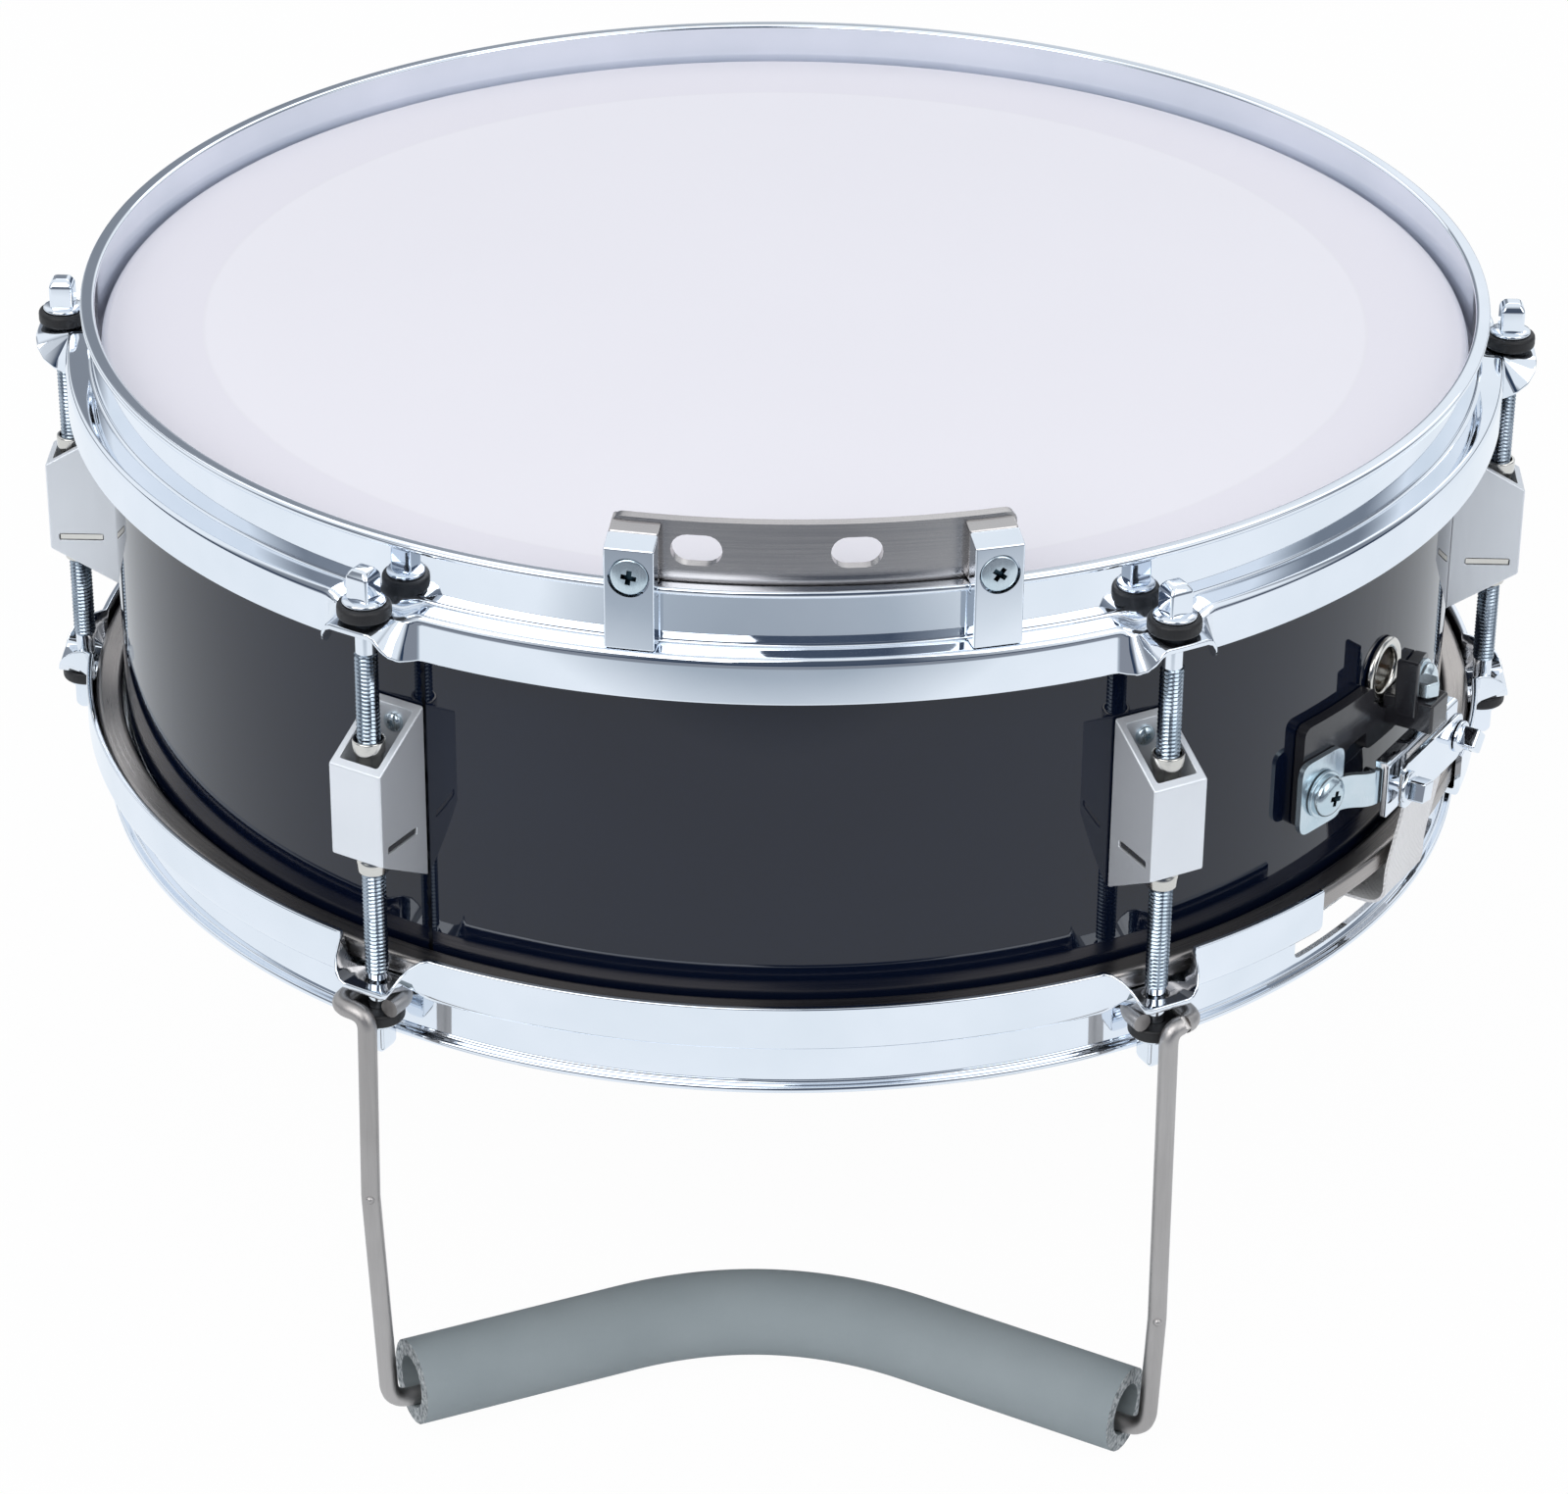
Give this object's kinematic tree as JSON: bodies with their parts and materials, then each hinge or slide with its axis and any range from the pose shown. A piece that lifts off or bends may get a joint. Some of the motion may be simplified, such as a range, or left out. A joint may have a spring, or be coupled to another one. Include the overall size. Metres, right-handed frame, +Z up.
{
  "type": "marching_snare_drum",
  "caption": "Marching snare drum: black wrapped shell under flanged chrome hoops, with tube lugs, a sling hook plate, a snare with butt and throw-off, and a wire knee rest with a foam grip",
  "frame": {"origin": "middle of the batter head's top face", "axes": "+Z up out of the batter head along the shell's axis; -Y toward the player, through the knee rest side; +X to the player's right as seen from the front"},
  "size_m": [0.3956, 0.3766, 0.2632],
  "materials": {
    "gloss_black_wrap": "high-gloss black covering over a wooden shell",
    "coated_film": "white sprayed coating on polyester film",
    "clear_film": "thin hazy snare-side film",
    "brushed_alloy": "brushed, warm grey",
    "chrome": "bright chrome plate",
    "satin_alloy": "fine satin, clear anodised",
    "nickel": "bright nickel plate",
    "zinc": "bright blue-white zinc plate",
    "black_casting": "smooth gloss black",
    "strap_white": "off-white woven band",
    "stainless": "drawn or rolled, half bright",
    "grey_foam": "matt closed-cell foam"
  },
  "bodies": {
    "drum": {"shell": "gloss_black_wrap", "vent_eyelet": "nickel", "batter_head": "coated_film", "snare_head": "clear_film", "batter_flesh_hoop": "brushed_alloy", "snare_flesh_hoop": "brushed_alloy", "batter_hoop": "chrome", "snare_hoop": "chrome", "lug_front_left": "satin_alloy", "sleeve_nut_front_left": "nickel", "lug_front_right": "satin_alloy", "sleeve_nut_front_right": "nickel", "lug_right": "satin_alloy", "sleeve_nut_right": "nickel", "lug_rear_right": "satin_alloy", "sleeve_nut_rear_right": "nickel", "lug_rear_left": "satin_alloy", "sleeve_nut_rear_left": "nickel", "lug_left": "satin_alloy", "sleeve_nut_left": "nickel", "hook_plate": "stainless", "rim_clamp_jaw_left": "chrome", "rim_clamp_screw_left": "zinc", "rim_clamp_jaw_right": "chrome", "rim_clamp_screw_right": "zinc", "butt_frame": "black_casting", "butt_bridge": "zinc", "butt_clamp_bar": "chrome", "butt_clamp_plate": "chrome", "butt_snare_strap": "strap_white", "butt_clamp_screw_left": "chrome", "butt_mounting_screw_left": "zinc", "butt_clamp_screw_right": "chrome", "butt_mounting_screw_right": "zinc", "throwoff_mounting_screw_left": "zinc", "throwoff_mounting_screw_right": "zinc", "throwoff_base": "black_casting", "knee_rest_wire": "stainless", "knee_rest_foam": "grey_foam"},
    "batter_rod_front_left_body": {"batter_rod_front_left": "chrome"},
    "snare_rod_front_left_body": {"snare_rod_front_left": "chrome"},
    "batter_rod_front_right_body": {"batter_rod_front_right": "chrome"},
    "snare_rod_front_right_body": {"snare_rod_front_right": "chrome"},
    "batter_rod_right_body": {"batter_rod_right": "chrome"},
    "snare_rod_right_body": {"snare_rod_right": "chrome"},
    "batter_rod_rear_right_body": {"batter_rod_rear_right": "chrome"},
    "snare_rod_rear_right_body": {"snare_rod_rear_right": "chrome"},
    "batter_rod_rear_left_body": {"batter_rod_rear_left": "chrome"},
    "snare_rod_rear_left_body": {"snare_rod_rear_left": "chrome"},
    "batter_rod_left_body": {"batter_rod_left": "chrome"},
    "snare_rod_left_body": {"snare_rod_left": "chrome"},
    "butt_bolt_body": {"butt_adjusting_bolt": "zinc"},
    "throwoff_carriage_body": {"throwoff_clamp_plate": "chrome", "throwoff_snare_strap": "strap_white", "throwoff_clamp_screw_left": "chrome", "throwoff_clamp_screw_right": "chrome", "throwoff_carriage": "chrome"},
    "throwoff_lever_body": {"throwoff_lever": "chrome"},
    "throwoff_knob_body": {"throwoff_tension_knob": "chrome"},
    "snare_wires_body": {"snare_wires": "stainless"}
  },
  "joints": [
    {"name": "batter_rod_front_left_turn", "type": "hinge", "parent": "drum", "child": "batter_rod_front_left_body", "pos_m": [-0.0955, -0.16541, 0], "axis": [0, 0, 1], "continuous": true},
    {"name": "snare_rod_front_left_turn", "type": "hinge", "parent": "drum", "child": "snare_rod_front_left_body", "pos_m": [-0.0955, -0.16541, -0.1174], "axis": [0, 0, -1], "continuous": true},
    {"name": "batter_rod_front_right_turn", "type": "hinge", "parent": "drum", "child": "batter_rod_front_right_body", "pos_m": [0.0955, -0.16541, 0], "axis": [0, 0, 1], "continuous": true},
    {"name": "snare_rod_front_right_turn", "type": "hinge", "parent": "drum", "child": "snare_rod_front_right_body", "pos_m": [0.0955, -0.16541, -0.1174], "axis": [0, 0, -1], "continuous": true},
    {"name": "batter_rod_right_turn", "type": "hinge", "parent": "drum", "child": "batter_rod_right_body", "pos_m": [0.191, 0, 0], "axis": [0, 0, 1], "continuous": true},
    {"name": "snare_rod_right_turn", "type": "hinge", "parent": "drum", "child": "snare_rod_right_body", "pos_m": [0.191, 0, -0.1174], "axis": [0, 0, -1], "continuous": true},
    {"name": "batter_rod_rear_right_turn", "type": "hinge", "parent": "drum", "child": "batter_rod_rear_right_body", "pos_m": [0.0955, 0.16541, 0], "axis": [0, 0, 1], "continuous": true},
    {"name": "snare_rod_rear_right_turn", "type": "hinge", "parent": "drum", "child": "snare_rod_rear_right_body", "pos_m": [0.0955, 0.16541, -0.1174], "axis": [0, 0, -1], "continuous": true},
    {"name": "batter_rod_rear_left_turn", "type": "hinge", "parent": "drum", "child": "batter_rod_rear_left_body", "pos_m": [-0.0955, 0.16541, 0], "axis": [0, 0, 1], "continuous": true},
    {"name": "snare_rod_rear_left_turn", "type": "hinge", "parent": "drum", "child": "snare_rod_rear_left_body", "pos_m": [-0.0955, 0.16541, -0.1174], "axis": [0, 0, -1], "continuous": true},
    {"name": "batter_rod_left_turn", "type": "hinge", "parent": "drum", "child": "batter_rod_left_body", "pos_m": [-0.191, 0, 0], "axis": [0, 0, 1], "continuous": true},
    {"name": "snare_rod_left_turn", "type": "hinge", "parent": "drum", "child": "snare_rod_left_body", "pos_m": [-0.191, 0, -0.1174], "axis": [0, 0, -1], "continuous": true},
    {"name": "throwoff_lever_swing", "type": "hinge", "parent": "drum", "child": "throwoff_lever_body", "pos_m": [-0.16758, 0.09675, -0.063], "axis": [-0.5, -0.866, 0], "range_deg": [0, 90]},
    {"name": "throwoff_carriage_drop", "type": "slide", "parent": "drum", "child": "throwoff_carriage_body", "axis": [0, 0, -1], "range_m": [0, 0.003]},
    {"name": "snare_wires_drop", "type": "hinge", "parent": "drum", "child": "snare_wires_body", "pos_m": [0.1299, -0.075, -0.1188], "axis": [-0.5, -0.866, 0], "range_deg": [0, 0.6]},
    {"name": "throwoff_knob_turn", "type": "hinge", "parent": "drum", "child": "throwoff_knob_body", "pos_m": [-0.1616, 0.0933, -0.056], "axis": [0, 0, 1], "continuous": true},
    {"name": "butt_bolt_turn", "type": "hinge", "parent": "drum", "child": "butt_bolt_body", "pos_m": [0.16454, -0.095, -0.056], "axis": [0, 0, 1], "continuous": true}
  ],
  "couplings": [
    {"joint": "throwoff_carriage_drop", "follows": "throwoff_lever_swing", "m_per_rad": 0.0019099},
    {"joint": "snare_wires_drop", "follows": "throwoff_lever_swing", "ratio": 0.0063662}
  ]
}
